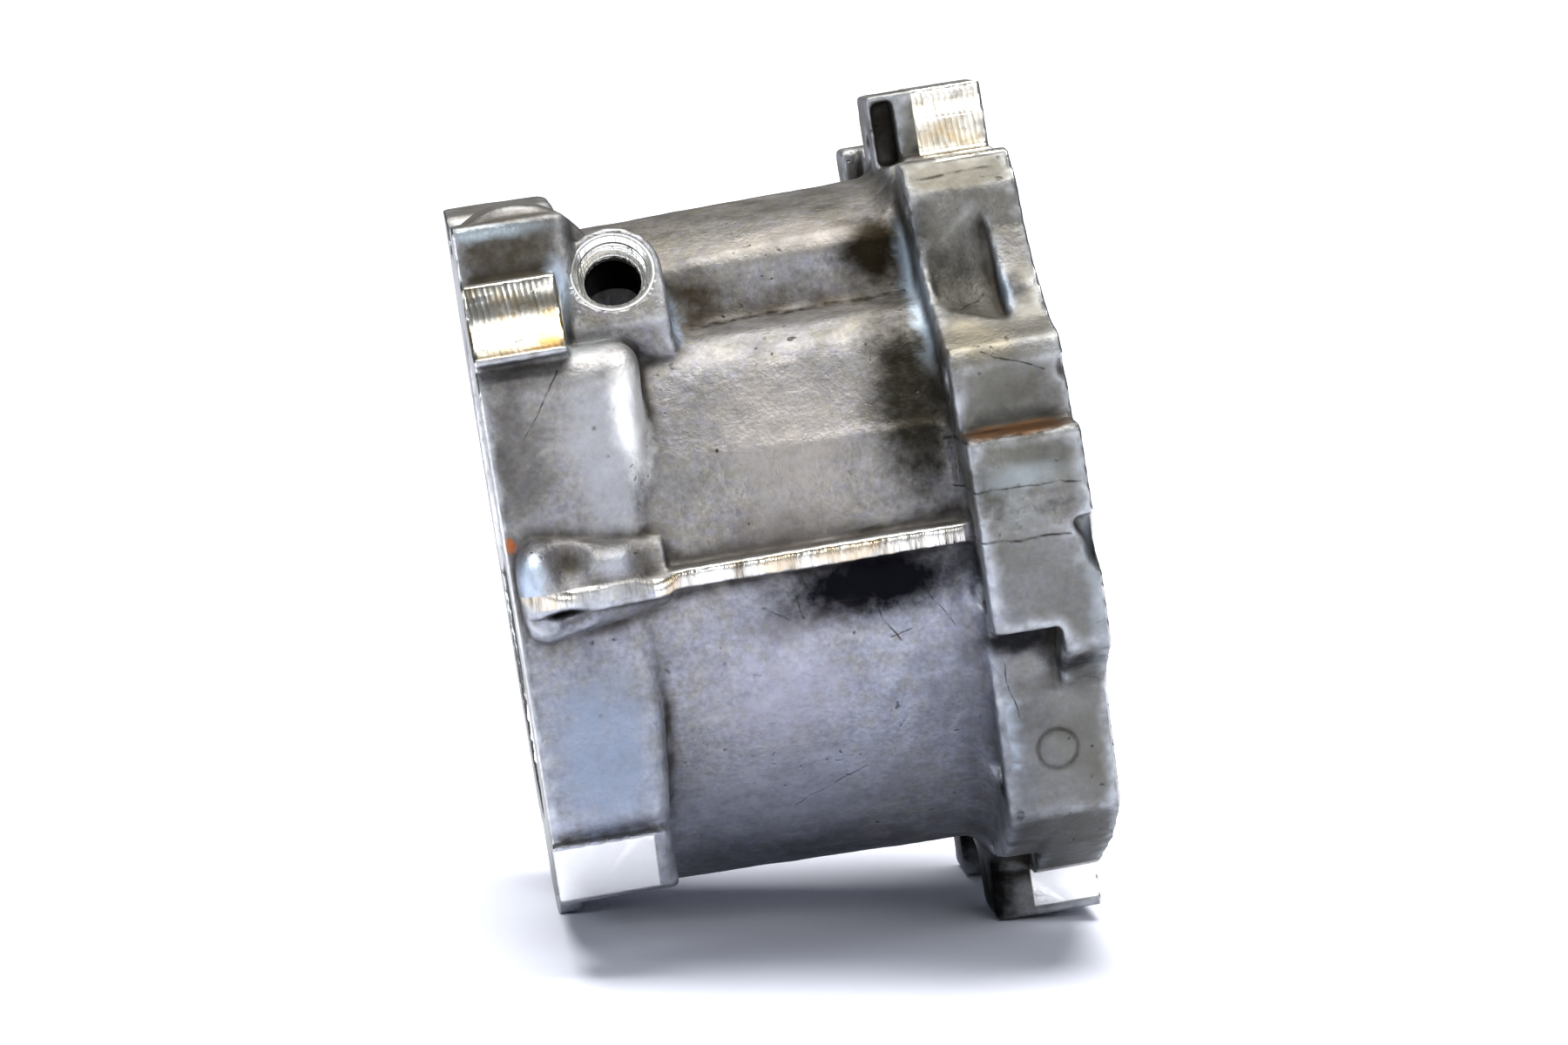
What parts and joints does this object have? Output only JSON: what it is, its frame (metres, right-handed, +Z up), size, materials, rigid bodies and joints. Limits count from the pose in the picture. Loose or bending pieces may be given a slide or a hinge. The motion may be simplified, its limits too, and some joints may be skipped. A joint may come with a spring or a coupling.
{
  "type": "gearbox housing",
  "caption": "Cast aluminium gearbox housing: drafted barrel between a squarish and a lobed joint flange, with a threaded side port, trimmed flash ridge and bearing hub inside.",
  "frame": {"origin": "centre of the part's outline seen from above, at the height of the surface that it rests on", "axes": "+Z up; the main bore leans up by 8.8 degrees towards +X, from the small joint face to the large one; -Y is the side with the threaded port"},
  "size_m": [0.1646, 0.2092, 0.2126],
  "materials": {
    "cast_aluminium": "dull as-cast skin with grime, bright where machined"
  },
  "bodies": {
    "root": {"gearbox_housing": "cast_aluminium"}
  },
  "joints": []
}
